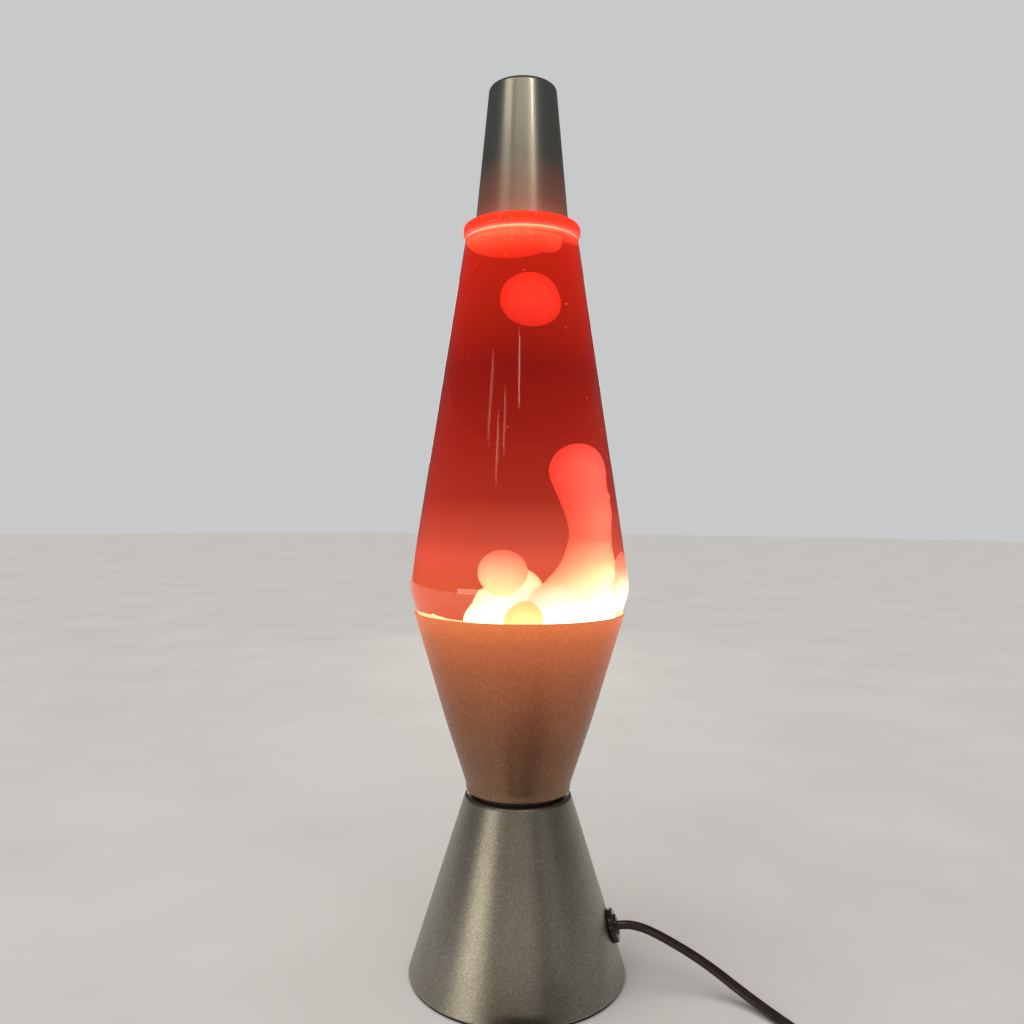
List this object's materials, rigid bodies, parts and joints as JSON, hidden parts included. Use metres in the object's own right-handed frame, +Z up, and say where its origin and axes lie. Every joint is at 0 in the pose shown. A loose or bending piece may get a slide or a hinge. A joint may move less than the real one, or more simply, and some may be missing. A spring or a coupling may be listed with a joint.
{
  "type": "lava lamp",
  "caption": "Lava lamp: a tapered glass bottle of red liquid and wax in a silver hourglass base with a screw bulb, a silver cone cap, and a flat lead with thumb-wheel switch and two-pin plug.",
  "frame": {"origin": "centre of the foot, on the surface the lamp stands on", "axes": "+Z up along the lamp's axis; the cord leaves the lower cone towards +X; -Y is the side the lamp is looked at from"},
  "size_m": [0.1831, 0.2025, 0.414],
  "materials": {
    "silver_paint": "satin metallic lacquer over spun aluminium",
    "cap_metal": "brushed and lacquered",
    "black_spacer": "matte",
    "foot_rubber": "matte",
    "fibre_board": "matte pressed fibre",
    "lampholder": "moulded, semi gloss",
    "brass": "bright",
    "zinc_steel": "zinc plated",
    "lead_insulation": "smooth vinyl",
    "clear_glass": "clear",
    "bottle_glass": "clear, tinted by the liquid",
    "bulb_metal": "bright",
    "black_glass": "gloss",
    "solder": "dull",
    "tungsten": "glowing",
    "crown_steel": "tin plate",
    "seal": "soft",
    "coil_wire": "wire",
    "hot_wax": "translucent wax, lit from below",
    "cool_wax": "translucent wax",
    "red_liquid": "clear dyed liquid",
    "cord_vinyl": "smooth vinyl",
    "bushing_nylon": "gloss moulded nylon",
    "black_moulding": "fine moulded texture"
  },
  "bodies": {
    "base": {"base_cone": "silver_paint", "base_cup": "silver_paint", "waist_ring": "black_spacer", "foot_ring": "foot_rubber", "bottom_cover": "fibre_board", "socket_body": "lampholder", "socket_shell": "brass", "centre_contact": "brass", "terminal_screws": "brass", "socket_bracket": "zinc_steel", "bracket_screws": "zinc_steel", "bracket_washers": "zinc_steel", "bracket_nuts": "zinc_steel", "socket_leads": "lead_insulation", "cord_bushing": "bushing_nylon", "power_cord": "cord_vinyl", "cord_coil": "cord_vinyl", "plug_lead": "cord_vinyl", "switch_base": "black_moulding", "switch_cover": "black_moulding", "switch_screws": "zinc_steel", "plug_body": "black_moulding", "plug_blades": "brass"},
    "bulb": {"bulb_glass": "clear_glass", "bulb_cap": "bulb_metal", "bulb_insulator": "black_glass", "bulb_tip": "solder", "bulb_stem": "clear_glass", "bulb_wires": "bulb_metal", "filament": "tungsten"},
    "bottle": {"bottle": "bottle_glass", "crown_cap": "crown_steel", "crown_liner": "seal", "heat_coil": "coil_wire", "wax_mass": "hot_wax", "wax_ball": "hot_wax", "wax_dome": "hot_wax", "wax_pancake": "cool_wax", "lamp_liquid": "red_liquid"},
    "wax_blob": {"wax_blob": "cool_wax"},
    "top_cap": {"top_cap": "cap_metal"},
    "switch_wheel": {"switch_wheel": "black_moulding"}
  },
  "joints": [
    {"name": "bottle_lift", "type": "slide", "parent": "base", "child": "bottle", "axis": [0, 0, 1], "range_m": [0, 0.12]},
    {"name": "cap_lift", "type": "slide", "parent": "bottle", "child": "top_cap", "axis": [0, 0, 1], "range_m": [0, 0.07]},
    {"name": "wax_blob_drift", "type": "slide", "parent": "bottle", "child": "wax_blob", "axis": [0, 0, 1], "range_m": [-0.05, 0.003]},
    {"name": "bulb_unscrew", "type": "hinge", "parent": "base", "child": "bulb", "pos_m": [0, 0, 0.0744], "axis": [0, 0, 1], "range_deg": [0, 1080]},
    {"name": "switch_turn", "type": "hinge", "parent": "base", "child": "switch_wheel", "pos_m": [0.058, -0.1341, 0.0074], "axis": [0, 0, 1], "continuous": true}
  ]
}
